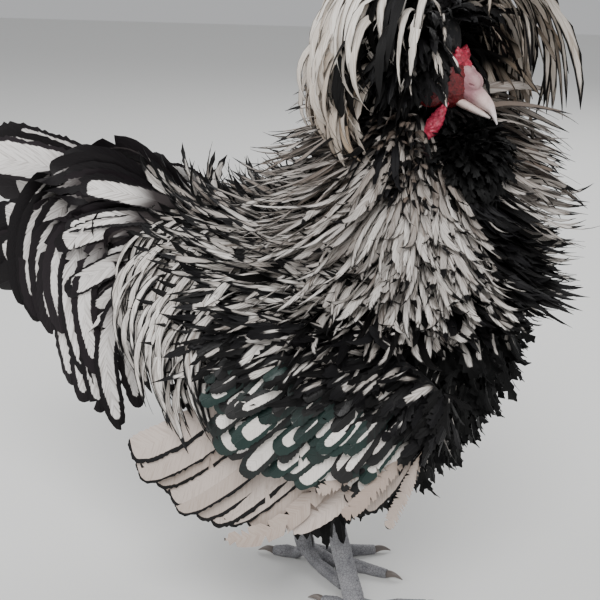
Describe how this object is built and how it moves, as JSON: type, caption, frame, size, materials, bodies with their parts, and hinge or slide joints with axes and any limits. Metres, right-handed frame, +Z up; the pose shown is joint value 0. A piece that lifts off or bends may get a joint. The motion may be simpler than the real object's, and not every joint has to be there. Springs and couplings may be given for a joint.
{
  "type": "crested bearded chicken with frizzled plumage, life-size still model",
  "caption": "Still, life-size model of a crested, bearded cock with frizzled silver-laced plumage and slate shanks, standing on its own feet.",
  "frame": {"origin": "on the floor, under the middle of the whole bird's box", "axes": "+X is ahead, the way the bird faces, +Y its left side, +Z up"},
  "size_m": [0.4162, 0.2708, 0.4405],
  "materials": {
    "plumage_laced": "matt feather, pale with black edges",
    "plumage_black": "matt feather, black with a faint green sheen",
    "skin_red": "soft skin, low sheen",
    "bill_horn": "satin horn",
    "shank_slate": "dull horn scales",
    "claw_horn": "satin horn",
    "eye_dark": "wet gloss"
  },
  "bodies": {
    "root": {"neck": "plumage_laced", "crest": "plumage_laced", "tail": "plumage_laced", "left_wing": "plumage_laced", "right_wing": "plumage_laced", "torso": "plumage_black", "beard": "plumage_black", "left_thigh": "plumage_black", "right_thigh": "plumage_black", "head": "skin_red", "comb": "skin_red", "left_wattle": "skin_red", "right_wattle": "skin_red", "bill_upper": "bill_horn", "bill_lower": "bill_horn", "left_shank": "shank_slate", "right_shank": "shank_slate", "left_back_claw": "claw_horn", "left_inner_claw": "claw_horn", "left_middle_claw": "claw_horn", "left_outer_claw": "claw_horn", "right_back_claw": "claw_horn", "right_inner_claw": "claw_horn", "right_middle_claw": "claw_horn", "right_outer_claw": "claw_horn", "left_eye": "eye_dark", "right_eye": "eye_dark"}
  },
  "joints": []
}
